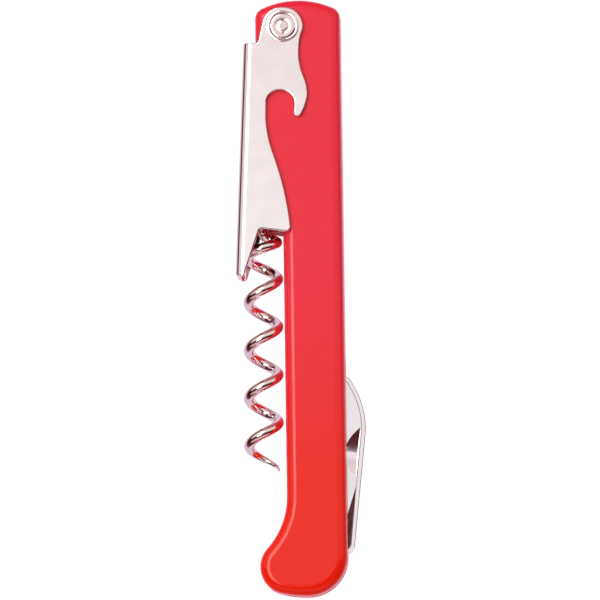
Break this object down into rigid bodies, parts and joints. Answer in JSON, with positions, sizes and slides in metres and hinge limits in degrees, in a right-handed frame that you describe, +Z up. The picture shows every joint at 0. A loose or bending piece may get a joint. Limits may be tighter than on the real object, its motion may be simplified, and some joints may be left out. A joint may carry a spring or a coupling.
{
  "type": "waiters corkscrew",
  "caption": "Folding corkscrew with a red moulded handle, a hinged boot lever with cap hook, a coiled wire worm and a folding foil knife.",
  "frame": {"origin": "centre of the tool's outline on the surface that it lies on", "axes": "+Y along the handle towards the lever rivet, +X towards the knife's side, +Z up through the front of the handle"},
  "size_m": [0.0254, 0.1196, 0.0126],
  "materials": {
    "handle_red": "glossy moulded plastic",
    "lever_nickel": "polished nickel-plated sheet steel",
    "rivet_nickel": "polished nickel-plated rivet",
    "worm_chrome": "polished plated wire",
    "blade_steel": "ground stainless steel",
    "liner_steel": "stamped stainless steel",
    "spring_steel": "tempered spring steel",
    "pin_steel": "turned steel",
    "washer_brass": "stamped brass",
    "washer_nylon": "natural nylon"
  },
  "bodies": {
    "handle": {"front_scale": "handle_red", "back_scale": "handle_red", "front_liner": "liner_steel", "back_liner": "liner_steel", "back_spring": "spring_steel", "spring_rivet": "pin_steel", "liner_rivets": "pin_steel", "liner_spacers": "pin_steel", "lever_bush": "pin_steel", "lever_rivet": "rivet_nickel", "front_lever_washer": "washer_nylon", "back_lever_washer": "washer_nylon", "worm_pin": "pin_steel", "front_worm_washer": "washer_brass", "back_worm_washer": "washer_brass", "knife_pin": "pin_steel", "front_knife_washer": "washer_brass", "back_knife_washer": "washer_brass"},
    "lever": {"lever": "lever_nickel"},
    "worm": {"worm": "worm_chrome"},
    "knife": {"knife_blade": "blade_steel"}
  },
  "joints": [
    {"name": "lever_pivot", "type": "hinge", "parent": "handle", "child": "lever", "pos_m": [-0.00254, 0.05424, 0.0062], "axis": [0, 0, -1], "range_deg": [0, 161]},
    {"name": "worm_pivot", "type": "hinge", "parent": "handle", "child": "worm", "pos_m": [-0.00464, 0.01924, 0.0062], "axis": [0, 0, -1], "range_deg": [0, 90]},
    {"name": "knife_pivot", "type": "hinge", "parent": "handle", "child": "knife", "pos_m": [0.00426, -0.04876, 0.0062], "axis": [0, 0, -1], "range_deg": [0, 180]}
  ],
  "couplings": [
    {"joint": "worm_pivot", "follows": "lever_pivot", "ratio": 0.559}
  ]
}
